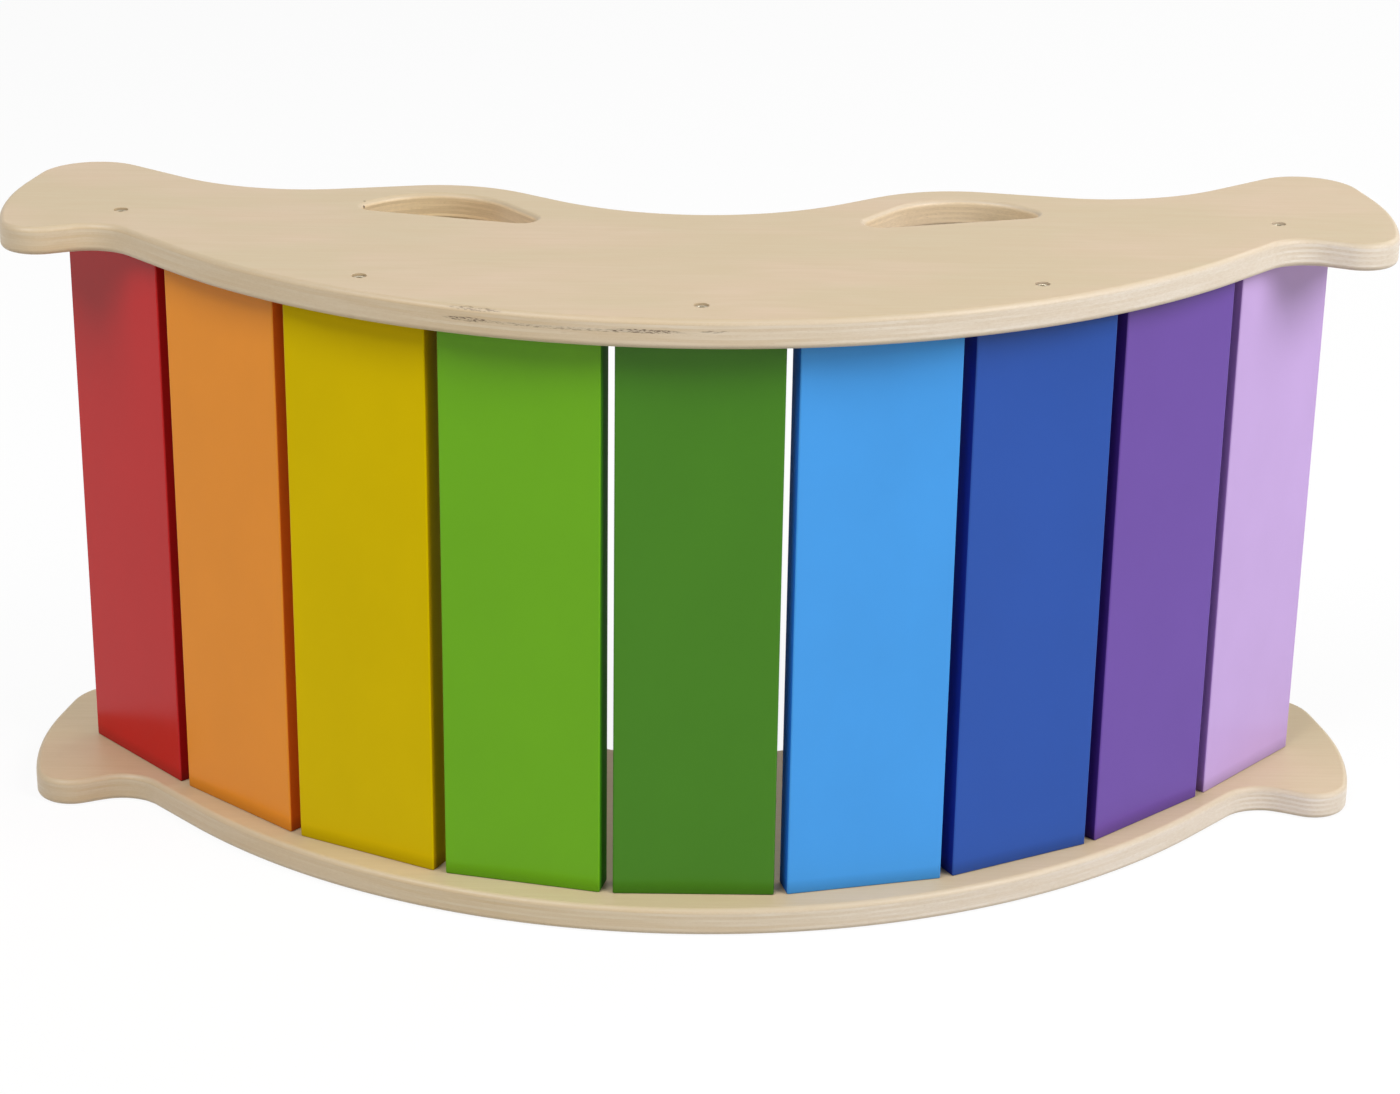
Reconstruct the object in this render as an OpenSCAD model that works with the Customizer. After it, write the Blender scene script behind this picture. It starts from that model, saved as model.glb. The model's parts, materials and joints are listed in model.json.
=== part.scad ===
/* [Slats] */
// Width of each slat
slat_w = 83; // [60:1:105]
// Thickness of each slat
slat_t = 15; // [12:0.5:24]
// Length of each slat, which is the room between the side panels
slat_len = 300; // [200:5:420]
// Gap between neighbouring slats at their front faces
slat_gap = 6.8; // [3:0.2:14]
// Rounding of a slat's long edges
slat_edge_r = 1; // [0.5:0.25:4]
// Bend from the third slat to the end slat, in degrees
end_bend = 6; // [0:0.5:14]

/* [Side panels] */
// Thickness of each plywood side panel
panel_t = 15; // [12:0.5:24]
// Radius of the rocking edge
rocker_r = 376; // [320:2:460]
// Distance from the rocking edge to the middle slat's front face
slat_setback = 17; // [12:0.5:26]
// How much the slat curve is wider than one concentric with the rocking edge
slat_ease = 11; // [0:1:20]
// Angle by which the rocking edge runs on past the third slat's middle
rocker_past = 5; // [2:0.5:9]
// Straight flank from the rocking edge to the corner of the tail notch
flank_len = 52; // [36:0.5:70]

/* [Tail, measured from the end slat's outer front corner] */
// Foot corner, outward
foot_out = 21; // [8:0.5:40]
// Foot corner, towards the rocking side
foot_drop = 70.5; // [50:0.5:95]
// Corner of the bowed end, outward
end_out = 34.5; // [24:0.5:60]
// Corner of the bowed end, towards the rocking side
end_drop = 9; // [0:0.5:24]
// Horn corner, outward
horn_out = 11.5; // [0:0.5:30]
// Horn corner, away from the rocking side
horn_rise = 95; // [70:0.5:130]

/* [Back edge, measured from the middle of the rocking edge] */
// Saddle corner, outward
saddle_x = 241.5; // [215:0.5:265]
// Saddle corner, height
saddle_y = 216; // [195:0.5:235]
// Grip corner, outward
grip_x = 121; // [105:0.5:140]
// Grip corner, height
grip_y = 241; // [228:0.5:262]
// Waist corner, height
waist_y = 153.5; // [130:0.5:180]

/* [Rounding of the outline] */
// Radius in the tail notch
notch_r = 26; // [12:0.5:34]
// Radius of the foot
foot_r = 20.5; // [10:0.5:22]
// Radius of the bowed end
end_r = 170; // [100:1:190]
// Radius of the horn
horn_r = 31.5; // [18:0.5:38]
// Radius of the saddle
saddle_r = 104; // [60:1:120]
// Radius of the grip hump
grip_r = 75; // [45:1:90]
// Radius of the waist
waist_r = 128; // [80:1:150]

/* [Hand slots, measured from the grip corner] */
// Inner foot of the slot, inward
slot_in = 48; // [40:0.5:58]
// Inner foot of the slot, downward
slot_drop = 83.5; // [76:0.5:92]
// Length of the slot's straight side between its sharp corners
slot_len = 117; // [95:0.5:128]
// Slope of the straight side, in degrees
slot_tilt = 15; // [8:0.5:22]
// Place of the slot's peak along the straight side
slot_peak_at = 82; // [66:0.5:98]
// Height of the slot's peak above the straight side
slot_peak_h = 65; // [50:0.5:68]
// Radius at both feet of the slot
slot_foot_r = 8.5; // [5:0.25:12]
// Radius of the slot's arch
slot_peak_r = 46; // [25:0.5:55]

/* [Connecting screws] */
// Length of a screw with its head
screw_len = 50; // [40:1:60]
// Outer diameter of the thread and the shank
screw_d = 5; // [4.25:0.25:6]
// Core diameter of the thread
screw_core_d = 3.6; // [3:0.1:4]
// Length of the smooth shank under the head
shank_len = 9; // [6:0.5:14]
// Pitch of the thread
thread_pitch = 2.4; // [1.6:0.1:3.2]
// Diameter of the head
head_d = 7; // [6.5:0.25:9]
// Height of the head
head_h = 3; // [2.6:0.1:5]
// Depth of the head below the panel's outer face
head_sink = 1; // [0.5:0.1:3]
// Hexagon socket across its flats
socket_af = 3; // [2:0.5:4]
// Depth of the hexagon socket
socket_depth = 2; // [1.2:0.1:2.4]

/* [Dowels] */
// Diameter of a dowel
dowel_d = 6; // [5:0.25:8]
// Length of a dowel
dowel_len = 30; // [24:1:44]
// Depth of a dowel in the side panel
dowel_sink = 10; // [6:0.5:11]
// Distance between the two dowels of a slat end
dowel_spread = 54; // [36:1:60]
// Bevel on both ends of a dowel
dowel_bevel = 0.8; // [0.4:0.1:1.5]

/* [Fits] */
// Play of a screw in its holes, on the diameter
screw_play = 0.2; // [0.1:0.05:0.6]
// Play of a screw head in its recess, on the diameter
head_play = 0.5; // [0.2:0.1:1.5]
// Play of a dowel in its holes, on the diameter
dowel_play = 0.2; // [0.1:0.05:0.5]
// Spare depth of a drilled hole beyond the tip of its screw or dowel
hole_spare = 0.8; // [0.4:0.1:2]

/* [Hidden] */
$fn = 48;
// Longest chord and widest step of the outline's arcs
arc_chord = 7;
arc_step = 8;
// Points closer than this are one point
same_point = 0.01;
// Overlap of a cut past the face that it opens
cut_past = 1;
// A thread ridge's crest and foot, as shares of the pitch
ridge_crest = [0.4, 0.55];
ridge_foot = 0.95;

colours = ["red", "orange", "yellow", "light_green", "dark_green", "light_blue", "dark_blue", "purple", "lilac"];
paints = ["#af3c40", "#d18536", "#c9b00a", "#66a323", "#487f27", "#479ae8", "#3757ab", "#7855a8", "#cbade5"];
birch = "#ddc8a9";
beech = "#d2a679";
steel = "#a9a8a2";
slat_count = len(colours);
middle = (slat_count - 1) / 2;
curved_side = middle - 1;
// Every second slat has a screw at each end
screw_every = 2;
screwed = [for (i = [0 : slat_count - 1]) if (has_screw(i)) i];
function has_screw(i) = i % screw_every == 0;

// Slat places: [x, y, tilt] of the middle of the front face, with y counted from the rocking edge.
// The slats of one side touch a circle, and the end slat leaves it on a flatter line.
slat_r = rocker_r - slat_setback + slat_ease;
corner_r = norm([slat_r, slat_w / 2]);
slat_turn = 2 * (atan(slat_w / 2 / slat_r) + asin(slat_gap / 2 / corner_r));
end_tilt = curved_side * slat_turn + end_bend;

function along(a) = [cos(a), sin(a)];
function on_curve(a) = [slat_r * sin(a), slat_setback + slat_r * (1 - cos(a))];
function end_face() =
    let (a = curved_side * slat_turn)
    on_curve(a) + along(a) * slat_w / 2 + along((a + end_tilt) / 2) * slat_gap + along(end_tilt) * slat_w / 2;
function half_place(k) =
    k > curved_side
    ? [end_face()[0], end_face()[1], end_tilt]
    : [on_curve(k * slat_turn)[0], on_curve(k * slat_turn)[1], k * slat_turn];
function slat_place(i) =
    let (k = i - middle, s = sign(k), p = half_place(abs(k)))
    [s * p[0], p[1], s * p[2]];

// Rounded outlines: each corner is [x, y, radius], and a radius gives way where its two sides are too short.
function wrap(cs, i) = cs[(i + len(cs)) % len(cs)];
function xy(c) = [c[0], c[1]];
function unit(v) = v / norm(v);
function to_next(cs, i) = xy(wrap(cs, i + 1)) - xy(wrap(cs, i));
function half_angle(cs, i) = acos(unit(-to_next(cs, i - 1)) * unit(to_next(cs, i))) / 2;
function reach(cs, i) = wrap(cs, i)[2] / tan(half_angle(cs, i));
function side_share(cs, i) = norm(to_next(cs, i)) / (reach(cs, i) + reach(cs, i + 1));
function fitted_r(cs, i) = cs[i][2] * min(1, side_share(cs, i), side_share(cs, i - 1));
function heading(v) = atan2(v[1], v[0]);
function short_turn(a) = a - 360 * round(a / 360);
function corner_arc(cs, i) =
    let (
        back = unit(-to_next(cs, i - 1)),
        ahead = unit(to_next(cs, i)),
        half = half_angle(cs, i),
        r = fitted_r(cs, i),
        centre = xy(cs[i]) + unit(back + ahead) * r / sin(half),
        start = heading(xy(cs[i]) + back * r / tan(half) - centre),
        sweep = short_turn(heading(xy(cs[i]) + ahead * r / tan(half) - centre) - start),
        steps = 2 * ceil(max(abs(sweep) / arc_step, abs(sweep) * PI / 180 * r / arc_chord) / 2)
    )
    [for (k = [0 : steps]) centre + r * along(start + sweep * k / steps)];
function rounded(cs) =
    let (pts = [for (i = [0 : len(cs) - 1]) each corner_arc(cs, i)], n = len(pts))
    [for (i = [0 : n - 1]) if (norm(pts[i] - pts[(i + n - 1) % n]) > same_point) pts[i]];
function mirrored(c) = [-c[0], c[1], c[2]];

// Outline of a side panel, with y counted from the middle of the rocking edge
rocker_a = curved_side * slat_turn + rocker_past;
rocker_end = rocker_r * [sin(rocker_a), 1 - cos(rocker_a)];
notch = rocker_end + flank_len * along(rocker_a);
slat_end = end_face() + along(end_tilt) * slat_w / 2;
right_corners = [
    [grip_x, grip_y, grip_r],
    [saddle_x, saddle_y, saddle_r],
    [slat_end[0] + horn_out, slat_end[1] + horn_rise, horn_r],
    [slat_end[0] + end_out, slat_end[1] - end_drop, end_r],
    [slat_end[0] + foot_out, slat_end[1] - foot_drop, foot_r],
    [notch[0], notch[1], notch_r]
];
left_corners = [for (i = [len(right_corners) - 1 : -1 : 0]) mirrored(right_corners[i])];
waist = [0, waist_y, waist_r];
rocker = [0, rocker_end[1] - rocker_end[0] * tan(rocker_a), rocker_r];
outline = rounded(concat([waist], right_corners, [rocker], left_corners));

// The part is centred on its box in Y, and stands on the lower panel's outer face
outline_y = [for (p = outline) p[1]];
mid_y = (min(outline_y) + max(outline_y)) / 2;
board_w = slat_len + 2 * panel_t;

// Hand slot on the right side
slot_foot = [grip_x - slot_in, grip_y - slot_drop];
slot_far = slot_foot + slot_len * along(slot_tilt);
slot_peak = slot_foot + slot_peak_at * along(slot_tilt) + slot_peak_h * along(slot_tilt + 90);
slot = rounded([
    [slot_foot[0], slot_foot[1], slot_foot_r],
    [slot_far[0], slot_far[1], slot_foot_r],
    [slot_peak[0], slot_peak[1], slot_peak_r]
]);

// Lengths in the screw and dowel holes, counted from a panel's outer face
head_floor = head_sink + head_h;
screw_tip = head_sink + screw_len;
thread_start = head_floor + shank_len;
tip_len = screw_core_d / 4;
thread_turns = floor((screw_tip - tip_len - thread_start) / thread_pitch);
dowel_floor = panel_t - dowel_sink;
dowel_end = dowel_floor + dowel_len;

// Puts children in the frame of slat i: X across its width, Y from its front face back, Z up
module at_slat(i) {
    p = slat_place(i);
    translate([p[0], p[1] - mid_y, 0])
        rotate([0, 0, p[2]])
            children();
}

// Puts children at the lower or the upper panel, with Z counted inward from its outer face
module at_panel(upper) {
    translate([0, 0, upper ? board_w : 0])
        mirror([0, 0, upper ? 1 : 0])
            children();
}

// Puts children on the axes of the two dowels in a slat's end
module at_dowels() {
    for (s = [-1, 1])
        translate([s * dowel_spread / 2, slat_t / 2, 0])
            children();
}

module bore(d, z0, z1) {
    translate([0, 0, z0])
        cylinder(d = d, h = z1 - z0);
}

// Holes for one slat's end: the dowel sockets, and the screw hole with the recess for its head
module end_holes(i, dowel_z0, dowel_z1, screw_z0, screw_z1) {
    at_dowels()
        bore(dowel_d + dowel_play, dowel_z0, dowel_z1);
    if (has_screw(i))
        translate([0, slat_t / 2, 0])
            bore(screw_d + screw_play, screw_z0, screw_z1);
}

module side_panel(upper) {
    color(birch)
        at_panel(upper)
            difference() {
                linear_extrude(panel_t)
                    translate([0, -mid_y])
                        polygon(outline);
                for (s = [0, 1])
                    mirror([s, 0, 0])
                        translate([0, -mid_y, -cut_past])
                            linear_extrude(panel_t + 2 * cut_past)
                                polygon(slot);
                for (i = [0 : slat_count - 1])
                    at_slat(i)
                        end_holes(i, dowel_floor, panel_t + cut_past, -cut_past, panel_t + cut_past);
                for (i = screwed)
                    at_slat(i)
                        translate([0, slat_t / 2, 0])
                            bore(head_d + head_play, -cut_past, head_floor);
            }
}

module slat_section() {
    for (x = [-1, 1], y = [-1, 1])
        translate([x * (slat_w / 2 - slat_edge_r), y * (slat_t / 2 - slat_edge_r)])
            circle(slat_edge_r);
    square([slat_w - 2 * slat_edge_r, slat_t], center = true);
    square([slat_w, slat_t - 2 * slat_edge_r], center = true);
}

module slat(i) {
    color(paints[i])
        difference() {
            at_slat(i)
                translate([0, slat_t / 2, panel_t])
                    linear_extrude(slat_len)
                        slat_section();
            for (upper = [false, true])
                at_panel(upper)
                    at_slat(i)
                        end_holes(i, panel_t - cut_past, dowel_end + hole_spare,
                            panel_t - cut_past, screw_tip + hole_spare);
        }
}

module dowel() {
    rotate_extrude()
        polygon([
            [0, dowel_floor],
            [dowel_d / 2 - dowel_bevel, dowel_floor],
            [dowel_d / 2, dowel_floor + dowel_bevel],
            [dowel_d / 2, dowel_end - dowel_bevel],
            [dowel_d / 2 - dowel_bevel, dowel_end],
            [0, dowel_end]
        ]);
}

module slat_dowels(i) {
    color(beech)
        for (upper = [false, true])
            at_panel(upper)
                at_slat(i)
                    at_dowels()
                        dowel();
}

// One ridge of the thread, from core to core
function ridge(z) = [
    [screw_core_d / 2, z],
    [screw_d / 2, z + thread_pitch * ridge_crest[0]],
    [screw_d / 2, z + thread_pitch * ridge_crest[1]],
    [screw_core_d / 2, z + thread_pitch * ridge_foot]
];

module screw() {
    difference() {
        rotate_extrude()
            polygon(concat(
                [
                    [0, head_sink],
                    [head_d / 2, head_sink],
                    [head_d / 2, head_floor],
                    [screw_d / 2, head_floor],
                    [screw_d / 2, thread_start],
                    [screw_core_d / 2, thread_start]
                ],
                [for (k = [thread_turns : -1 : 1]) each ridge(screw_tip - tip_len - k * thread_pitch)],
                [
                    [screw_core_d / 2, screw_tip - tip_len],
                    [screw_core_d / 4, screw_tip],
                    [0, screw_tip]
                ]
            ));
        translate([0, 0, head_sink - cut_past])
            cylinder(d = socket_af / cos(30), h = socket_depth + cut_past, $fn = 6);
    }
}

module slat_screw(i, upper) {
    color(steel)
        at_panel(upper)
            at_slat(i)
                translate([0, slat_t / 2, 0])
                    screw();
}

side_panel(false);  // lower_side_panel
side_panel(true);  // upper_side_panel
for (i = [0 : slat_count - 1]) {
    slat(i);
    slat_dowels(i);
}
for (i = screwed) {
    slat_screw(i, false);
    slat_screw(i, true);
}
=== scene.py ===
import json
import math

import bmesh
import bpy
from bpy.props import FloatProperty, FloatVectorProperty, IntProperty, PointerProperty
from mathutils import Matrix, Vector


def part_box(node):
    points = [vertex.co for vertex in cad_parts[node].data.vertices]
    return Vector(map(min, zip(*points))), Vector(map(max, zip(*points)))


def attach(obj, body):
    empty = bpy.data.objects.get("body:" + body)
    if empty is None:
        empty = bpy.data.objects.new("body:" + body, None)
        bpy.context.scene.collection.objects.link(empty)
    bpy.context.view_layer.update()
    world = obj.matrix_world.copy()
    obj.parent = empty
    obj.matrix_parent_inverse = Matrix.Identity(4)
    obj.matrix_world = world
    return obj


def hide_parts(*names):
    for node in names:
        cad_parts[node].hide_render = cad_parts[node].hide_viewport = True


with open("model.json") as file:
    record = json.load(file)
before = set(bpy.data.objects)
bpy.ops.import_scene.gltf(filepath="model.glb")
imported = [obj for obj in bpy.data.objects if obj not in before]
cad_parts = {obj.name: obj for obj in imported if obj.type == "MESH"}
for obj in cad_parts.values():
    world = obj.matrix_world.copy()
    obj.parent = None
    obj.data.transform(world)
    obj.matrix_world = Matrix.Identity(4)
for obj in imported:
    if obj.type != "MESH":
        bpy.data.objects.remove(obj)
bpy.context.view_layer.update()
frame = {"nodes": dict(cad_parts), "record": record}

bl_info = {
    "name": "Balance board finishes",
    "version": (1, 0, 0),
    "blender": (4, 5, 0),
    "location": "View3D > Sidebar > Balance board",
    "description": "Rounds, paints and lacquers a slatted balance board and sets up its studio",
    "category": "Object",
}

MM = 0.001
BODY = "root"

# Points closer than this are one
MERGE = 0.001 * MM
# Heights closer than this are the same
LEVEL = 0.01 * MM
# Rims smaller than this belong to drilled holes
HOLE_LIMIT = 20 * MM
# Rims smaller than this share of a screw's head belong to its socket
SOCKET_SHARE = 0.8
# Faces that turn less than this are one flat face
FLAT = math.radians(0.1)
# Edges that turn less than this are shaded smooth
SMOOTH = math.radians(35)
# Edges that turn more than this are rims
SHARP = math.radians(50)
# Faces across the small bevels
RECESS_STEPS = 2
RIM_STEPS = 3
SOCKET_STEPS = 1

# Groups of like pieces, by the names of their nodes
PANELS = sorted(name for name in frame["nodes"] if name.endswith("_side_panel"))
SLATS = sorted(name for name in frame["nodes"] if name.endswith("_slat"))
SCREWS = sorted(name for name in frame["nodes"] if name.endswith("_screw"))
DOWELS = sorted(name for name in frame["nodes"] if name.endswith("_dowels"))

# Sizes that the frame gives
PANEL_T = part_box("lower_side_panel")[1].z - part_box("lower_side_panel")[0].z
PANEL_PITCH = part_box("upper_side_panel")[0].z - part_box("lower_side_panel")[0].z
FRONT_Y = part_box("upper_side_panel")[0].y
SLAT_LENGTH = PANEL_PITCH - PANEL_T
# How far the slats reach to the left and to the right
SLATS_REACH = max(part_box(name)[1].x for name in SLATS)
# Axes of the screws, round which the panels' recesses are drilled
SCREW_MIDDLES = [(low + high) / 2 for low, high in map(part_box, SCREWS)]
SCREW_AXES = sorted({(round(middle.x, 6), round(middle.y, 6)) for middle in SCREW_MIDDLES})

# Radius of the rocking edge, along which the slats stand, and the middle of its curve
ROCKER_R = 376 * MM
CURVE_MIDDLE = (0, FRONT_Y + ROCKER_R, 0)
# Room that the veneers' count leaves beyond each face
FACE_ROOM = 0.05 * MM

# The right hand slot, from the openings in the record, and how far the painted light on its walls reaches
# from its middle.
# The last numbers keep the height out of it.
SLOT_BOXES = [o["box_m"] for o in frame["record"]["physics"]["openings"] if "_right_hand_slot" in o["name"]]
SLOT_LOW = [min(low[i] for low, _ in SLOT_BOXES) for i in range(2)]
SLOT_HIGH = [max(high[i] for _, high in SLOT_BOXES) for i in range(2)]
SLOT_ROOM = 14 * MM
SLOT_MIDDLE = [(a + b) / 2 for a, b in zip(SLOT_LOW, SLOT_HIGH)] + [0]
SLOT_REACH = [(b - a) / 2 + SLOT_ROOM for a, b in zip(SLOT_LOW, SLOT_HIGH)] + [1]

# Torn fibres and pin knots in the upper panel. Each has its middle, from the panel's front and underside,
# its half size and its darkness, with lengths in millimetres.
TEARS = (
    ((-62, 10, 8.6), (68, 36, 0.9), 0.5),
    ((-112, 17, 8.8), (16, 9, 1.3), 0.9),
    ((-28, 1, 9.0), (20, 8, 1.2), 1.1),
    ((-109, 17, 14.0), (18, 9, 1.0), 0.6),
    ((6, 0, 9.4), (8, 8, 0.8), 0.5),
    ((-178.2, 199.8, 15), (0.9, 1.2, 1), 3),
    ((-178.2, 195.4, 13), (0.9, 1.2, 1), 3),
)

# Tints of the sheens that aren't white
SHEEN_TINTS = {"yellow": "#FFD800"}

# Lamps: turn to the right and elevation in degrees, then distance, width and height in metres
LAMPS = {
    "right": (60, 38, 4.0, 2.2, 2.0),
    "left": (-45, 52, 4.0, 2.2, 2.0),
    "rear": (130, 33, 4.0, 2.2, 2.0),
}
# Side of the square floor in metres, and how far it lies below the board
FLOOR_SIZE = 14
FLOOR_DROP = 0.2 * MM


# Settings

def linear(hex_colour):
    """The linear RGBA of an sRGB hex value."""
    channels = [int(hex_colour[i:i + 2], 16) / 255 for i in (1, 3, 5)]
    return [c / 12.92 if c <= 0.04045 else ((c + 0.055) / 1.055) ** 2.4 for c in channels] + [1.0]


def paint_property(name, hex_colour):
    """A colour setting for the paint of one slat."""
    return FloatVectorProperty(
        name=name, description="Paint of that slat", default=linear(hex_colour), size=4, min=0, max=1,
        subtype="COLOR")


class PanelSettings(bpy.types.PropertyGroup):
    """Shape of the plywood side panels"""

    roundover: FloatProperty(
        name="Roundover", description="Radius of the rounded edges of the panels and their hand slots",
        default=3 * MM, min=0.5 * MM, max=6 * MM, unit="LENGTH")
    roundover_steps: IntProperty(
        name="Roundover steps", description="Faces across the roundover", default=6, min=2, max=12)
    recess_bevel: FloatProperty(
        name="Recess bevel", description="Broken edge of the screw recesses",
        default=0.3 * MM, min=0.1 * MM, max=1 * MM, unit="LENGTH")
    plies: IntProperty(
        name="Plies", description="Number of veneers in the plywood, an odd number",
        default=11, min=5, max=15)


class SlatSettings(bpy.types.PropertyGroup):
    """Shape of the slats"""

    end_bevel: FloatProperty(
        name="End bevel", description="Rounding of the edges round each end of a slat",
        default=0.8 * MM, min=0.1 * MM, max=0.9 * MM, unit="LENGTH")
    end_steps: IntProperty(
        name="End steps", description="Faces across the rounding of the ends", default=3, min=1, max=8)


class ScrewSettings(bpy.types.PropertyGroup):
    """Shape of the connecting screws"""

    rim_bevel: FloatProperty(
        name="Rim bevel", description="Rounding of the head's rim",
        default=0.35 * MM, min=0.1 * MM, max=1 * MM, unit="LENGTH")
    socket_bevel: FloatProperty(
        name="Socket bevel", description="Lead-in of the hexagon socket",
        default=0.15 * MM, min=0.05 * MM, max=0.4 * MM, unit="LENGTH")


class PaintSettings(bpy.types.PropertyGroup):
    """Colours of the slats"""

    red: paint_property("Red", "#C50A0A")
    orange: paint_property("Orange", "#EC9120")
    yellow: paint_property("Yellow", "#D6B900")
    light_green: paint_property("Light green", "#6AAC0D")
    dark_green: paint_property("Dark green", "#437F14")
    light_blue: paint_property("Light blue", "#449CE9")
    dark_blue: paint_property("Dark blue", "#2752AA")
    purple: paint_property("Purple", "#6C4AA4")
    lilac: paint_property("Lilac", "#C4A4DD")


class StageSettings(bpy.types.PropertyGroup):
    """Camera, light and floor"""

    camera_aim: FloatVectorProperty(
        name="Camera aim", description="Point that the camera looks at",
        default=(0.0019, 0.0005, 0.1593), size=3, subtype="TRANSLATION", unit="LENGTH")
    camera_distance: FloatProperty(
        name="Camera distance", description="Distance from the camera to its aim",
        default=1.7386, unit="LENGTH")
    camera_elevation: FloatProperty(
        name="Camera elevation", description="Height of the camera above the horizon",
        default=math.radians(21.788), subtype="ANGLE")
    camera_turn: FloatProperty(
        name="Camera turn", description="Turn of the view to the right",
        default=math.radians(0.4766), subtype="ANGLE")
    camera_roll: FloatProperty(
        name="Camera roll", description="Roll of the camera",
        default=math.radians(0.8396), subtype="ANGLE")
    camera_lens: FloatProperty(
        name="Camera lens", description="Focal length in millimetres, on a 36 mm sensor", default=83.935)
    sky_level: FloatProperty(
        name="Sky level", description="Even light from all round, where 1 shows a white surface as white",
        default=0.15)
    right_level: FloatProperty(
        name="Right level", description="Light of the lamp on the right", default=0.75)
    left_level: FloatProperty(
        name="Left level", description="Light of the lamp on the left", default=0.61)
    rear_level: FloatProperty(
        name="Rear level", description="Light of the lamp behind the board, on its right", default=0.26)
    white_share: FloatProperty(
        name="White share", description="Share of plain white in the floor's look, to keep shadows faint",
        default=0.9, min=0, max=1)


class BoardSettings(bpy.types.PropertyGroup):
    """All settings of the board"""

    panels: PointerProperty(type=PanelSettings)
    slats: PointerProperty(type=SlatSettings)
    screws: PointerProperty(type=ScrewSettings)
    paints: PointerProperty(type=PaintSettings)
    stage: PointerProperty(type=StageSettings)


def settings():
    """All settings of the board, which the scene holds."""
    return bpy.context.scene.balance_board


# Materials

def add(tree, kind, inputs=None, **node_settings):
    """Adds a shader node with its settings and its input values or links, and returns its outputs."""
    node = tree.nodes.new("ShaderNode" + kind)
    for name, value in node_settings.items():
        setattr(node, name, value)
    for key, value in (inputs or {}).items():
        if isinstance(value, bpy.types.NodeSocket):
            tree.links.new(value, node.inputs[key])
        else:
            node.inputs[key].default_value = value
    return node.outputs


def blank_material(name):
    """A new material with an empty node tree."""
    material = bpy.data.materials.new(name)
    material.use_nodes = True
    material.node_tree.nodes.clear()
    return material, material.node_tree


def per_mm(*sizes):
    """How often patterns of those sizes in millimetres repeat in a metre."""
    return [1 / (size * MM) for size in sizes]


def from_mid_height(tree, place):
    """How far each point is above or below the middle of the board's height."""
    z = add(tree, "SeparateXYZ", {0: place})["Z"]
    away = add(tree, "Math", {0: z, 1: (PANEL_PITCH + PANEL_T) / 2}, operation="SUBTRACT")[0]
    return add(tree, "Math", {0: away}, operation="ABSOLUTE")[0]


def edge_shares(tree):
    """How much of the surface faces along X and along Y, and their sum, which tells an edge from a face."""
    normal = add(tree, "NewGeometry")["Normal"]
    squares = add(tree, "VectorMath", {0: normal, 1: normal}, operation="MULTIPLY")[0]
    facing_x, facing_y, _ = add(tree, "SeparateXYZ", {0: squares})
    edge = add(tree, "Math", {0: facing_x, 1: facing_y}, operation="ADD")[0]
    return facing_x, facing_y, edge


def veneers(tree, place):
    """The veneer at each point, counted from the panel's lower face, and the place in it from 0 to 1."""
    z = add(tree, "SeparateXYZ", {0: place})["Z"]
    # A hair of room on both sides keeps each face inside its own veneer
    depth = add(tree, "Math", {0: z, 1: FACE_ROOM}, operation="ADD")[0]
    depth = add(tree, "Math", {0: depth, 1: PANEL_PITCH}, operation="MODULO")[0]
    # Core veneers waver, and the faces stay flat
    waver = 0.7 * MM
    drift = add(tree, "VectorMath", {0: place, 1: per_mm(60, 60, 200)}, operation="MULTIPLY")[0]
    drift = add(tree, "TexNoise", {"Vector": drift, "Scale": 1, "Detail": 2})["Fac"]
    drift = add(tree, "MapRange", {"Value": drift, "To Min": -waver, "To Max": waver})[0]
    belly = add(tree, "Math", {0: depth, 1: math.pi / PANEL_T}, operation="MULTIPLY")[0]
    belly = add(tree, "Math", {0: belly}, operation="SINE")[0]
    depth = add(tree, "Math", {0: drift, 1: belly, 2: depth}, operation="MULTIPLY_ADD")[0]
    ply = (PANEL_T + 2 * FACE_ROOM) / settings().panels.plies
    count = add(tree, "Math", {0: depth, 1: ply}, operation="DIVIDE")[0]
    number = add(tree, "Math", {0: count}, operation="FLOOR")[0]
    within = add(tree, "Math", {0: count}, operation="FRACT")[0]
    return number, within


def grain_and_pores(tree, place, crossing):
    """Grain and pores along the fibres, which run along Y where crossing is 1 and along X where it is 0."""
    x, y, z = add(tree, "SeparateXYZ", {0: place})
    turned = add(tree, "CombineXYZ", {0: y, 1: x, 2: z})[0]
    fibre = add(tree, "Mix", {0: crossing, 4: place, 5: turned}, data_type="VECTOR")[1]
    grain = add(tree, "VectorMath", {0: fibre, 1: per_mm(60, 1.8, 0.9)}, operation="MULTIPLY")[0]
    grain = add(tree, "TexNoise", {"Vector": grain, "Scale": 1, "Detail": 4, "Roughness": 0.62})["Fac"]
    # Pores are about 0.2 mm wide, and drawn three times as wide so that they show
    pores = add(tree, "VectorMath", {0: fibre, 1: per_mm(9, 0.6, 0.6)}, operation="MULTIPLY")[0]
    pores = add(tree, "TexNoise", {"Vector": pores, "Scale": 1, "Detail": 1})["Fac"]
    pores = add(tree, "MapRange", {"Value": pores, "From Min": 0.66, "From Max": 0.78},
                interpolation_type="SMOOTHSTEP")[0]
    return grain, pores


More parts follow.
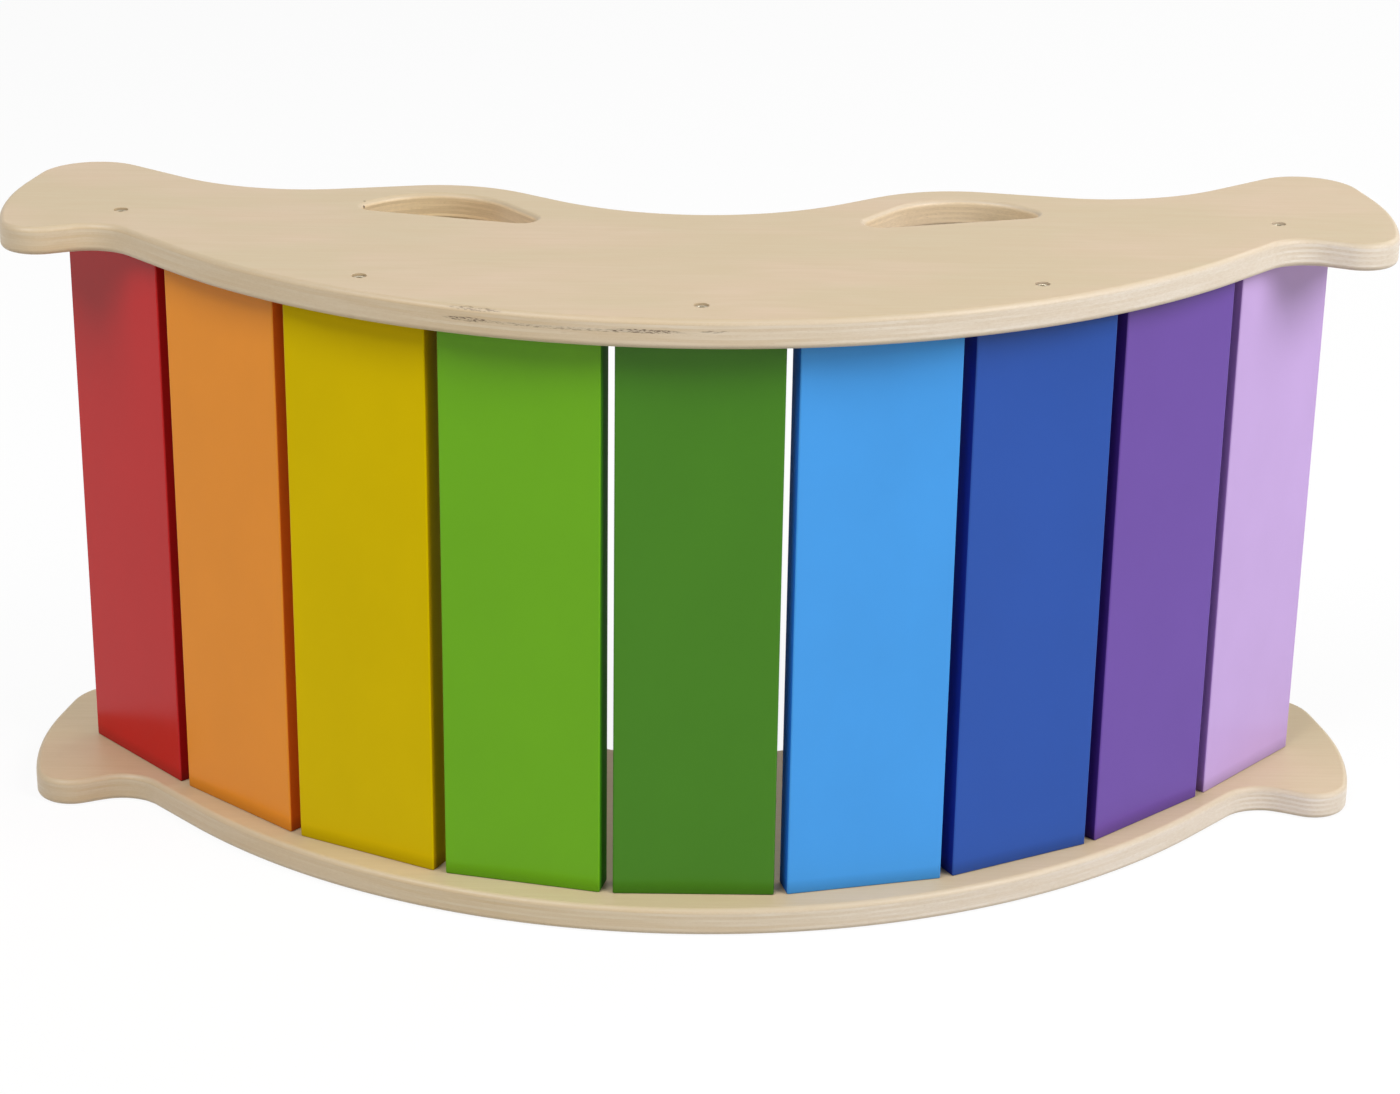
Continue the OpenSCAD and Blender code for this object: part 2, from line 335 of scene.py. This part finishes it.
def veneer_tones(tree, place, number, within):
    """How dark each veneer is on an edge, changing slowly along it, and the glue seams between veneers."""
    # A step in the noise from each veneer to the next gives each one tones of its own
    noise_step = 3.7
    level = add(tree, "Math", {0: number, 1: noise_step}, operation="MULTIPLY")[0]
    level = add(tree, "CombineXYZ", {2: level})[0]
    along = per_mm(70, 70) + [0]
    tone = add(tree, "VectorMath", {0: place, 1: along, 2: level}, operation="MULTIPLY_ADD")[0]
    tone = add(tree, "TexNoise", {"Vector": tone, "Scale": 1, "Detail": 2})["Fac"]
    tone = add(tree, "MapRange", {"Value": tone, "From Min": 0.35, "From Max": 0.7, "To Max": 0.8})[0]
    seam = add(tree, "Math", {0: within, 1: 0.5}, operation="SUBTRACT")[0]
    seam = add(tree, "Math", {0: seam}, operation="ABSOLUTE")[0]
    seam = add(tree, "MapRange", {"Value": seam, "From Min": 0.38, "From Max": 0.5, "To Max": 0.3})[0]
    seam = add(tree, "Math", {0: seam, 1: tone}, operation="MULTIPLY")[0]
    return tone, seam


def round_slots(tree, place):
    """1 close round the hand slots and 0 elsewhere."""
    x, y, _ = add(tree, "SeparateXYZ", {0: place})
    side = add(tree, "Math", {0: x}, operation="ABSOLUTE")[0]
    away = add(tree, "CombineXYZ", {0: side, 1: y})[0]
    away = add(tree, "VectorMath", {0: away, 1: SLOT_MIDDLE}, operation="SUBTRACT")[0]
    away = add(tree, "VectorMath", {0: away, 1: SLOT_REACH}, operation="DIVIDE")[0]
    away = add(tree, "VectorMath", {0: away}, operation="LENGTH")["Value"]
    return add(tree, "MapRange", {"Value": away, "From Min": 1, "From Max": 0.9})[0]


def round_screws(tree, place):
    """1 close round the screws and 0 elsewhere."""
    reach = 5 * MM
    full_reach = 4.5 * MM
    x, y, _ = add(tree, "SeparateXYZ", {0: place})
    flat = add(tree, "CombineXYZ", {0: x, 1: y})[0]
    # No point is a metre from its nearest screw
    nearest = 1.0
    for axis in SCREW_AXES:
        away = add(tree, "VectorMath", {0: flat, 1: (*axis, 0)}, operation="DISTANCE")["Value"]
        nearest = add(tree, "Math", {0: away, 1: nearest}, operation="MINIMUM")[0]
    return add(tree, "MapRange", {"Value": nearest, "From Min": reach, "From Max": full_reach})[0]


def worked_places(tree, place, edge):
    """How much each point belongs to the routed hand slots, the drilled recesses and the roundovers, which
    take painted light and shade.
    """
    steep = add(tree, "MapRange", {"Value": edge, "From Min": 0.6})[0]
    # Painted bounce light on the walls of the hand slots
    slot_wall_painted_light = add(tree, "Math", {0: round_slots(tree, place), 1: steep}, operation="MULTIPLY")[0]
    # Painted shade in the screw recesses: their walls are darkened
    drilled = add(tree, "Math", {0: round_screws(tree, place), 1: steep}, operation="MULTIPLY")[0]
    # Painted shade: the roundovers, halfway between face and edge, are darkened browner to tone down their
    # highlight
    face = add(tree, "Math", {0: 1.0, 1: edge}, operation="SUBTRACT")[0]
    rims = add(tree, "Math", {0: edge, 1: face}, operation="MULTIPLY")[0]
    return slot_wall_painted_light, drilled, rims


def torn_fibres(tree, place):
    """How strongly torn fibres and pin knots show at each point."""
    origin = Vector((0, FRONT_Y, PANEL_PITCH))
    shade = 0.0
    for middle, half_size, darkness in TEARS:
        away = add(tree, "VectorMath", {0: place, 1: origin + Vector(middle) * MM}, operation="SUBTRACT")[0]
        away = add(tree, "VectorMath", {0: away, 1: per_mm(*half_size)}, operation="MULTIPLY")[0]
        away = add(tree, "VectorMath", {0: away}, operation="LENGTH")["Value"]
        near = add(tree, "MapRange", {"Value": away, "From Min": 1, "From Max": 0.65, "To Max": darkness},
                   interpolation_type="SMOOTHSTEP")[0]
        shade = add(tree, "Math", {0: near, 1: shade}, operation="MAXIMUM")[0]
    fibres = add(tree, "VectorMath", {0: place, 1: per_mm(2.2, 2.2, 0.4)}, operation="MULTIPLY")[0]
    fibres = add(tree, "TexNoise", {"Vector": fibres, "Scale": 1, "Detail": 3})["Fac"]
    fibres = add(tree, "MapRange", {"Value": fibres, "From Min": 0.48, "From Max": 0.6, "To Min": 0.15})[0]
    return add(tree, "Math", {0: shade, 1: fibres}, operation="MULTIPLY")[0]


def face_veneer(tree, place):
    """Colour of the face veneer: pale, with peach clouds, the wide flames of a rotary cut, and painted
    bounce light on the inner faces.
    """
    cloud = add(tree, "VectorMath", {0: place, 1: per_mm(80, 45, 45)}, operation="MULTIPLY")[0]
    cloud = add(tree, "TexNoise", {"Vector": cloud, "Scale": 1, "Detail": 2, "Roughness": 0.45})["Fac"]
    cloud = add(tree, "MapRange", {"Value": cloud, "From Min": 0.4, "From Max": 0.68})[0]
    # The flames sway by up to seven times their width
    flame_width = 26 * MM
    flame_sway = 7
    y = add(tree, "SeparateXYZ", {0: place})["Y"]
    sway = add(tree, "VectorMath", {0: place, 1: per_mm(150, 55, 55)}, operation="MULTIPLY")[0]
    sway = add(tree, "TexNoise", {"Vector": sway, "Scale": 1, "Detail": 2})["Fac"]
    flame = add(tree, "Math", {0: y, 1: math.tau / flame_width}, operation="MULTIPLY")[0]
    flame = add(tree, "Math", {0: sway, 1: math.tau * flame_sway, 2: flame}, operation="MULTIPLY_ADD")[0]
    flame = add(tree, "Math", {0: flame}, operation="SINE")[0]
    flame = add(tree, "MapRange", {"Value": flame, "From Min": -1, "To Max": 0.22})[0]
    # Painted bounce light: the inner faces, which lie between the middles of the two panels, are made paler
    # and more golden
    mid_panel = PANEL_PITCH / 2
    inner = add(tree, "MapRange", {
        "Value": from_mid_height(tree, place), "From Min": mid_panel + 1 * MM, "From Max": mid_panel,
        "To Max": 0.3})[0]
    colour = add(tree, "Mix", {0: cloud, 6: linear("#C0AE8E"), 7: linear("#C7B095")}, data_type="RGBA")[2]
    colour = add(tree, "Mix", {0: flame, 6: colour, 7: linear("#BDA683")}, data_type="RGBA")[2]
    return add(tree, "Mix", {0: inner, 6: colour, 7: linear("#DDC89F")}, data_type="RGBA")[2]


def edge_veneer_with_painted_sheen(tree, place):
    """Colour of the cut veneers with a painted sheen, paler and pinker towards the right, and how clear
    their lines are.
    """
    start = -150 * MM
    end = 250 * MM
    x = add(tree, "SeparateXYZ", {0: place})["X"]
    along = add(tree, "MapRange", {"Value": x, "From Min": start, "From Max": end},
                interpolation_type="SMOOTHSTEP")[0]
    # Painted sheen: the veneers turn paler and pinker, and their lines fainter, towards the right, where
    # the right lamp's sheen falls
    colour = add(tree, "Mix", {0: along, 6: linear("#D4C3A8"), 7: linear("#ECE3D8")}, data_type="RGBA")[2]
    clear = add(tree, "MapRange", {"Value": along, "To Min": 1.0, "To Max": 0.35})[0]
    return colour, clear


def layered(tree, colour, layers):
    """A colour with others laid over it, each by its share of the surface and that share's strength."""
    for share, strength, shade in layers:
        share = add(tree, "Math", {0: share, 1: strength}, operation="MULTIPLY")[0]
        colour = add(tree, "Mix", {0: share, 6: colour, 7: shade}, data_type="RGBA")[2]
    return colour


def birch_plywood():
    """Birch plywood, sanded and under clear satin lacquer.

    The eye sees a pale, faintly clouded face veneer with fine grain along the board, with painted bounce
    light that makes the inner faces paler, and painted shade on the roundovers. On the edges the veneers
    show as faint, uneven lines with a sheen of lacquer and a painted sheen that makes them paler and pinker
    towards the right, and here and there a core veneer is torn. The hand slots' walls carry painted bounce
    light that makes them more golden, and the drilled recesses carry painted shade.
    """
    material, tree = blank_material("birch_plywood")
    place = add(tree, "TexCoord")["Object"]
    facing_x, facing_y, edge = edge_shares(tree)
    number, within = veneers(tree, place)
    # Every second veneer runs across the board, and an edge shows end grain where it cuts a veneer's fibres
    crossing = add(tree, "Math", {0: number, 1: 2}, operation="MODULO")[0]
    end_grain = add(tree, "Mix", {0: crossing, 2: facing_x, 3: facing_y})[0]
    grain, pores = grain_and_pores(tree, place, crossing)
    dark_grain = add(tree, "MapRange", {
        "Value": grain, "From Min": 0.35, "From Max": 0.7, "To Max": 0.3})[0]
    tone, seam = veneer_tones(tree, place, number, within)
    torn = torn_fibres(tree, place)
    slot_wall_painted_light, drilled, rims = worked_places(tree, place, edge)
    cut_colour_with_painted_sheen, clear = edge_veneer_with_painted_sheen(tree, place)
    lines = add(tree, "Math", {0: edge, 1: clear}, operation="MULTIPLY")[0]

    # From the broadest change of colour to the finest
    colour = layered(tree, face_veneer(tree, place), (
        (edge, 0.9, cut_colour_with_painted_sheen),
        # Painted shade on the roundovers
        (rims, 2, linear("#B7A78C")),
        # Painted bounce light that makes the hand slots' walls paler and more golden
        (slot_wall_painted_light, 0.75, linear("#FFE2B4")),
        (tone, lines, linear("#C8AF8A")),
        (dark_grain, 1, linear("#BDA47F")),
        (end_grain, 0.25, linear("#C3A880")),
        (seam, lines, linear("#A98B62")),
        (pores, 0.16, linear("#9C7B52")),
        # Painted shade in the screw recesses
        (drilled, 0.5, linear("#8F7652")),
        (torn, 1, linear("#4E3618")),
    ))

    # The edges take more lacquer than the faces
    coat = add(tree, "MapRange", {"Value": edge, "To Min": 0.1, "To Max": 0.4})[0]
    gloss = add(tree, "Math", {0: grain, 1: 0.12, 2: 0.44}, operation="MULTIPLY_ADD")[0]
    height = add(tree, "Math", {0: pores, 1: -0.5, 2: grain}, operation="MULTIPLY_ADD")[0]
    height = add(tree, "Math", {0: torn, 1: -3.0, 2: height}, operation="MULTIPLY_ADD")[0]
    bump = add(tree, "Bump", {"Height": height, "Strength": 0.2, "Distance": 0.1 * MM})[0]
    shader = add(tree, "BsdfPrincipled", {
        "Base Color": colour, "Roughness": gloss, "Normal": bump, "IOR": 1.5,
        "Coat Weight": coat, "Coat Roughness": 0.38})[0]
    add(tree, "OutputMaterial", {"Surface": shader})
    return material


def broad_faces(tree, place):
    """1 on the slats' broad faces, which face along the curve's radius, and 0 on their sides and ends."""
    outward = add(tree, "VectorMath", {0: place, 1: CURVE_MIDDLE}, operation="SUBTRACT")[0]
    outward = add(tree, "VectorMath", {0: outward, 1: (1, 1, 0)}, operation="MULTIPLY")[0]
    outward = add(tree, "VectorMath", {0: outward}, operation="NORMALIZE")[0]
    normal = add(tree, "NewGeometry")["Normal"]
    facing = add(tree, "VectorMath", {0: normal, 1: outward}, operation="DOT_PRODUCT")["Value"]
    facing = add(tree, "Math", {0: facing}, operation="ABSOLUTE")[0]
    return add(tree, "MapRange", {"Value": facing, "From Min": 0.4, "From Max": 0.6})[0]


def paint_colour(tree, place, paint, broad):
    """Colour of a paint on its slat: almost even, with painted shade at the ends and on the gaps' sides."""
    cloudiness = 0.02
    cloud = add(tree, "VectorMath", {0: place, 1: per_mm(40, 40, 60)}, operation="MULTIPLY")[0]
    cloud = add(tree, "TexNoise", {"Vector": cloud, "Scale": 1, "Detail": 3})["Fac"]
    cloud = add(tree, "MapRange", {"Value": cloud, "From Min": 0.3, "From Max": 0.7})[0]
    thin = [channel * (1 + cloudiness) for channel in paint[:3]] + [1.0]
    full = [channel * (1 - cloudiness) for channel in paint[:3]] + [1.0]
    colour = add(tree, "Mix", {0: cloud, 6: thin, 7: full}, data_type="RGBA")[2]
    # Painted shade where the slat's ends meet the panels: the last millimetres are darker
    end = SLAT_LENGTH / 2
    end_reach = 8 * MM
    painted_end_shade = add(tree, "MapRange", {
        "Value": from_mid_height(tree, place), "From Min": end - end_reach, "From Max": end,
        "To Max": 0.32})[0]
    colour = add(tree, "Mix", {0: painted_end_shade, 6: colour, 7: linear("#000000")}, data_type="RGBA")[2]
    # Painted shade: the sides in the gaps, which shade each other, get a deeper colour, and the outmost
    # ones on the left and right have no neighbour
    gaps_end = SLATS_REACH - 25 * MM
    outmost_start = SLATS_REACH - 20 * MM
    x = add(tree, "SeparateXYZ", {0: place})["X"]
    out = add(tree, "Math", {0: x}, operation="ABSOLUTE")[0]
    outmost = add(tree, "MapRange", {"Value": out, "From Min": gaps_end, "From Max": outmost_start})[0]
    unshaded = add(tree, "Math", {0: broad, 1: outmost}, operation="MAXIMUM")[0]
    # Painted shade, as a deeper colour on the shaded sides
    deep = add(tree, "MapRange", {"Value": unshaded, "To Min": 1.65, "To Max": 1.0})[0]
    return add(tree, "Gamma", {"Color": colour, "Gamma": deep})[0]


def satin_paint(name, paint):
    """Sprayed satin lacquer on planed wood.

    The eye sees an even, deep colour with a soft sheen, a slight orange peel in the reflections and a trace
    of the wood's fibres along the slat. Painted shade darkens the slat's ends and the sides in the gaps,
    and its narrow sides are matt.
    """
    material, tree = blank_material(name + "_satin_paint")
    place = add(tree, "TexCoord")["Object"]
    broad = broad_faces(tree, place)
    colour = paint_colour(tree, place, paint, broad)
    # Orange peel has cells of about 1.5 mm, and is drawn at 2.5 mm so that it shows
    peel = add(tree, "VectorMath", {0: place, 1: per_mm(2.5, 2.5, 2.5)}, operation="MULTIPLY")[0]
    peel = add(tree, "TexNoise", {"Vector": peel, "Scale": 1, "Detail": 1})["Fac"]
    fibre = add(tree, "VectorMath", {0: place, 1: per_mm(1.8, 1.8, 70)}, operation="MULTIPLY")[0]
    fibre = add(tree, "TexNoise", {"Vector": fibre, "Scale": 1, "Detail": 2})["Fac"]
    height = add(tree, "Math", {0: fibre, 1: 0.5, 2: peel}, operation="MULTIPLY_ADD")[0]
    bump = add(tree, "Bump", {"Height": height, "Strength": 0.1, "Distance": 0.1 * MM})[0]
    # The narrow sides take less spray and stay matt
    gloss = add(tree, "MapRange", {"Value": fibre, "To Min": 0.2, "To Max": 0.28})[0]
    gloss = add(tree, "Mix", {0: broad, 2: 0.75, 3: gloss})[0]
    shader = add(tree, "BsdfPrincipled", {
        "Base Color": colour, "Roughness": gloss, "Normal": bump, "IOR": 1.5, "Specular IOR Level": 0.22,
        "Specular Tint": linear(SHEEN_TINTS.get(name, "#FFFFFF"))})[0]
    add(tree, "OutputMaterial", {"Surface": shader})
    return material


def bright_zinc():
    """Bright zinc plating on steel.

    The eye sees a light grey metal with a soft gloss and a fine, slightly patchy frost.
    """
    material, tree = blank_material("bright_zinc_plate")
    place = add(tree, "TexCoord")["Object"]
    frost = add(tree, "VectorMath", {0: place, 1: per_mm(0.8, 0.8, 0.8)}, operation="MULTIPLY")[0]
    frost = add(tree, "TexNoise", {"Vector": frost, "Scale": 1, "Detail": 3})["Fac"]
    colour = add(tree, "Mix", {0: frost, 6: linear("#BEB6A2"), 7: linear("#D4CCBA")}, data_type="RGBA")[2]
    gloss = add(tree, "MapRange", {"Value": frost, "To Min": 0.26, "To Max": 0.44})[0]
    bump = add(tree, "Bump", {"Height": frost, "Strength": 0.1, "Distance": 0.05 * MM})[0]
    shader = add(tree, "BsdfPrincipled", {
        "Base Color": colour, "Metallic": 1.0, "Roughness": gloss, "Normal": bump})[0]
    add(tree, "OutputMaterial", {"Surface": shader})
    return material


def turned_beech():
    """Turned beech, as dowels have it.

    The eye sees a warm pink brown with short dark flecks along the fibres.
    """
    material, tree = blank_material("turned_beech")
    place = add(tree, "TexCoord")["Object"]
    grain = add(tree, "VectorMath", {0: place, 1: per_mm(1.2, 1.2, 25)}, operation="MULTIPLY")[0]
    grain = add(tree, "TexNoise", {"Vector": grain, "Scale": 1, "Detail": 3})["Fac"]
    fleck = add(tree, "VectorMath", {0: place, 1: per_mm(0.5, 0.5, 3)}, operation="MULTIPLY")[0]
    fleck = add(tree, "TexNoise", {"Vector": fleck, "Scale": 1, "Detail": 1})["Fac"]
    fleck = add(tree, "MapRange", {"Value": fleck, "From Min": 0.62, "From Max": 0.72, "To Max": 0.5})[0]
    colour = add(tree, "Mix", {0: grain, 6: linear("#D9B188"), 7: linear("#C4935F")}, data_type="RGBA")[2]
    colour = add(tree, "Mix", {0: fleck, 6: colour, 7: linear("#8A5F38")}, data_type="RGBA")[2]
    bump = add(tree, "Bump", {"Height": grain, "Strength": 0.2, "Distance": 0.1 * MM})[0]
    shader = add(tree, "BsdfPrincipled", {"Base Color": colour, "Roughness": 0.62, "Normal": bump})[0]
    add(tree, "OutputMaterial", {"Surface": shader})
    return material


def seen_ray(tree):
    """1 on the rays that show a thing, directly or in a sheen, and 0 on those that only carry light."""
    ray = add(tree, "LightPath")
    return add(tree, "Math", {0: ray["Is Camera Ray"], 1: ray["Is Glossy Ray"]}, operation="MAXIMUM")[0]


def studio_floor():
    """Matt pale grey floor that is shown as white.

    The eye sees an even white, with the board's soft shadow on it.
    """
    material, tree = blank_material("matt_pale_floor")
    seen = seen_ray(tree)
    colour = add(tree, "Mix", {0: seen, 6: linear("#D0D0CE"), 7: linear("#FAFAFA")}, data_type="RGBA")[2]
    lit = add(tree, "BsdfDiffuse", {"Color": colour})[0]
    white = add(tree, "Emission", {"Color": linear("#FFFFFF"), "Strength": 1.0})[0]
    share = add(tree, "Math", {0: seen, 1: settings().stage.white_share}, operation="MULTIPLY")[0]
    shader = add(tree, "MixShader", {0: share, 1: lit, 2: white})[0]
    add(tree, "OutputMaterial", {"Surface": shader})
    return material


# Modelling

def merged_copy(node, piece_name):
    """A copy of a CAD node, with its triangles merged into whole flat faces, left open in edit mode."""
    bpy.ops.object.select_all(action="DESELECT")
    piece = bpy.data.objects.new(piece_name, frame["nodes"][node].data.copy())
    piece.data.name = piece_name
    piece.data.materials.clear()
    bpy.context.scene.collection.objects.link(piece)
    bpy.context.view_layer.objects.active = piece
    piece.select_set(True)
    bpy.ops.object.mode_set(mode="EDIT")
    bpy.ops.mesh.customdata_custom_splitnormals_clear()
    bpy.ops.mesh.select_all(action="SELECT")
    bpy.ops.mesh.remove_doubles(threshold=MERGE)
    bpy.ops.mesh.dissolve_limited(angle_limit=FLAT)
    return piece


def sharp_rims(mesh):
    """The sharp edges of a mesh that lie level, in groups that hang together."""
    waiting = {
        edge for edge in mesh.edges
        if edge.calc_face_angle(0) > SHARP and abs(edge.verts[0].co.z - edge.verts[1].co.z) < LEVEL
    }
    rims = []
    while waiting:
        rim = [waiting.pop()]
        for edge in rim:
            for vertex in edge.verts:
                joined = waiting.intersection(vertex.link_edges)
                waiting -= joined
                rim.extend(joined)
        rims.append(rim)
    return rims


def rim_size(rim):
    """The longest side of the box round a rim."""
    places = [vertex.co for edge in rim for vertex in edge.verts]
    return max(max(p[i] for p in places) - min(p[i] for p in places) for i in range(3))


def is_large(rim):
    """Whether a rim is too large for a drilled hole."""
    return rim_size(rim) > HOLE_LIMIT


def rim_at(rim, z):
    """Whether a rim lies at that height."""
    return all(abs(vertex.co.z - z) < LEVEL for edge in rim for vertex in edge.verts)


def bevel_rims(piece, wanted, width, steps):
    """Bevels the sharp rims of a piece for which wanted(rim) holds."""
    mesh = bmesh.from_edit_mesh(piece.data)
    bpy.ops.mesh.select_mode(type="EDGE")
    bpy.ops.mesh.select_all(action="DESELECT")
    chosen = [edge for rim in sharp_rims(mesh) if wanted(rim) for edge in rim]
    if not chosen:
        raise RuntimeError(piece.name + " has no rim to bevel")
    for edge in chosen:
        edge.select_set(True)
    bmesh.update_edit_mesh(piece.data)
    bpy.ops.mesh.bevel(offset=width, segments=steps, profile=0.5, affect="EDGES")


def finish_piece(piece, node, material):
    """Closes edit mode, shades the piece, and puts it on the board in place of its node."""
    bpy.ops.object.mode_set(mode="OBJECT")
    bpy.ops.object.shade_smooth_by_angle(angle=SMOOTH)
    bpy.ops.object.modifier_add(type="WEIGHTED_NORMAL")
    piece.modifiers[-1].keep_sharp = True
    bpy.ops.object.modifier_apply(modifier=piece.modifiers[-1].name)
    piece.data.materials.append(material)
    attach(piece, BODY)
    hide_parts(node)


# Steps that make the board

class BOARD_OT_side_panels(bpy.types.Operator):
    """Make both plywood side panels, with their edges and hand slots rounded over"""

    bl_idname = "balance_board.side_panels"
    bl_label = "Side panels"

    def execute(self, context):
        shape = settings().panels
        plywood = birch_plywood()
        for node in PANELS:
            low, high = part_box(node)
            outer_z = low.z if node.startswith("lower") else high.z
            piece = merged_copy(node, node.replace("side_panel", "birch_panel"))
            bevel_rims(piece, is_large, shape.roundover, shape.roundover_steps)
            bevel_rims(piece, lambda rim: rim_at(rim, outer_z), shape.recess_bevel, RECESS_STEPS)
            finish_piece(piece, node, plywood)
        return {"FINISHED"}


class BOARD_OT_slats(bpy.types.Operator):
    """Make the nine painted slats, with the edges round their ends rounded"""

    bl_idname = "balance_board.slats"
    bl_label = "Slats"

    def execute(self, context):
        shape = settings().slats
        for node in SLATS:
            paint_name = node.removesuffix("_slat")
            piece = merged_copy(node, node + "_painted")
            bevel_rims(piece, is_large, shape.end_bevel, shape.end_steps)
            paint = satin_paint(paint_name, getattr(settings().paints, paint_name))
            finish_piece(piece, node, paint)
        return {"FINISHED"}


class BOARD_OT_screws(bpy.types.Operator):
    """Make the connecting screws, with rounded heads and a lead-in to their sockets"""

    bl_idname = "balance_board.screws"
    bl_label = "Connecting screws"

    def execute(self, context):
        shape = settings().screws
        zinc = bright_zinc()
        for node in SCREWS:
            low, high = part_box(node)
            head_z = low.z if "_lower_" in node else high.z
            socket_limit = SOCKET_SHARE * min(high.x - low.x, high.y - low.y)
            piece = merged_copy(node, node + "_zinc")
            bevel_rims(
                piece, lambda rim: rim_at(rim, head_z) and rim_size(rim) > socket_limit,
                shape.rim_bevel, RIM_STEPS)
            bevel_rims(
                piece, lambda rim: rim_at(rim, head_z) and rim_size(rim) < socket_limit,
                shape.socket_bevel, SOCKET_STEPS)
            finish_piece(piece, node, zinc)
        return {"FINISHED"}


class BOARD_OT_dowels(bpy.types.Operator):
    """Give the dowels their beech finish; their shape is the node's own"""

    bl_idname = "balance_board.dowels"
    bl_label = "Dowels"

    def execute(self, context):
        beech = turned_beech()
        for node in DOWELS:
            dowels = frame["nodes"][node]
            dowels.data.materials.clear()
            dowels.data.materials.append(beech)
        return {"FINISHED"}


class BOARD_OT_stage(bpy.types.Operator):
    """Set up the floor, the light and the camera"""

    bl_idname = "balance_board.stage"
    bl_label = "Studio"

    def execute(self, context):
        stage = settings().stage
        self.add_floor()
        self.light_world(stage.sky_level)
        for name in LAMPS:
            self.add_lamp(name, Vector(stage.camera_aim), getattr(stage, name + "_level"))
        self.add_camera(stage)
        context.scene.view_settings.view_transform = "Standard"
        return {"FINISHED"}

    def add_floor(self):
        """Adds the floor, a hair below the board."""
        bpy.ops.object.select_all(action="DESELECT")
        bpy.ops.mesh.primitive_plane_add(size=FLOOR_SIZE, location=(0, 0, -FLOOR_DROP))
        floor = bpy.context.active_object
        floor.name = "floor"
        bpy.ops.object.transform_apply(location=True, rotation=True, scale=True)
        floor.data.materials.append(studio_floor())

    def light_world(self, level):
        """Makes the world white where it is seen, and a weak even light."""
        world = bpy.data.worlds.new("studio")
        world.use_nodes = True
        tree = world.node_tree
        tree.nodes.clear()
        strength = add(tree, "MapRange", {"Value": seen_ray(tree), "To Min": level, "To Max": 1.0})[0]
        sky = add(tree, "Background", {"Color": linear("#FFFFFF"), "Strength": strength})[0]
        add(tree, "OutputWorld", {"Surface": sky})
        bpy.context.scene.world = world

    def add_lamp(self, name, aim, level):
        """Adds a soft rectangular lamp; at level 1 it shows a white surface that faces it as white."""
        turn, elevation, distance, *size = LAMPS[name]
        facing = (Matrix.Rotation(math.radians(turn), 3, "Z")
                  @ Matrix.Rotation(math.radians(90 - elevation), 3, "X"))
        place = aim + facing @ Vector((0, 0, distance))
        bpy.ops.object.light_add(type="AREA", location=place, rotation=facing.to_euler())
        lamp = bpy.context.active_object
        lamp.name = name + "_lamp"
        lamp.data.shape = "RECTANGLE"
        lamp.data.size, lamp.data.size_y = size
        lamp.data.energy = level * (math.pi * distance) ** 2

    def add_camera(self, stage):
        """Adds the camera at the place from which the photo was taken."""
        facing = (Matrix.Rotation(-stage.camera_turn, 3, "Z")
                  @ Matrix.Rotation(math.pi / 2 - stage.camera_elevation, 3, "X")
                  @ Matrix.Rotation(stage.camera_roll, 3, "Z"))
        place = Vector(stage.camera_aim) + facing @ Vector((0, 0, stage.camera_distance))
        bpy.ops.object.camera_add(location=place, rotation=facing.to_euler())
        camera = bpy.context.active_object
        camera.name = "photo_camera"
        camera.data.lens = stage.camera_lens
        bpy.context.scene.camera = camera


class BOARD_PT_sidebar(bpy.types.Panel):
    """The board's settings and the steps that make it"""

    bl_idname = "BOARD_PT_sidebar"
    bl_label = "Balance board"
    bl_space_type = "VIEW_3D"
    bl_region_type = "UI"
    bl_category = "Balance board"

    def draw(self, context):
        board = context.scene.balance_board
        groups = {
            "Side panels": board.panels, "Slats": board.slats, "Connecting screws": board.screws,
            "Paints": board.paints, "Studio": board.stage}
        for title, group in groups.items():
            box = self.layout.box()
            box.label(text=title)
            for name in group.__annotations__:
                box.prop(group, name)
        for step in STEPS:
            self.layout.operator(step.bl_idname)


STEPS = (BOARD_OT_side_panels, BOARD_OT_slats, BOARD_OT_screws, BOARD_OT_dowels, BOARD_OT_stage)
CLASSES = (
    PanelSettings, SlatSettings, ScrewSettings, PaintSettings, StageSettings, BoardSettings,
    *STEPS, BOARD_PT_sidebar)


def register():
    """Registers the classes and gives the scene its settings."""
    for cls in CLASSES:
        bpy.utils.register_class(cls)
    bpy.types.Scene.balance_board = PointerProperty(type=BoardSettings)


def unregister():
    """Takes the settings from the scene and unregisters the classes."""
    del bpy.types.Scene.balance_board
    for cls in reversed(CLASSES):
        bpy.utils.unregister_class(cls)


def main():
    """Makes the board and its studio."""
    register()
    bpy.ops.balance_board.side_panels()
    bpy.ops.balance_board.slats()
    bpy.ops.balance_board.screws()
    bpy.ops.balance_board.dowels()
    bpy.ops.balance_board.stage()


if __name__ == "__main__":
    main()
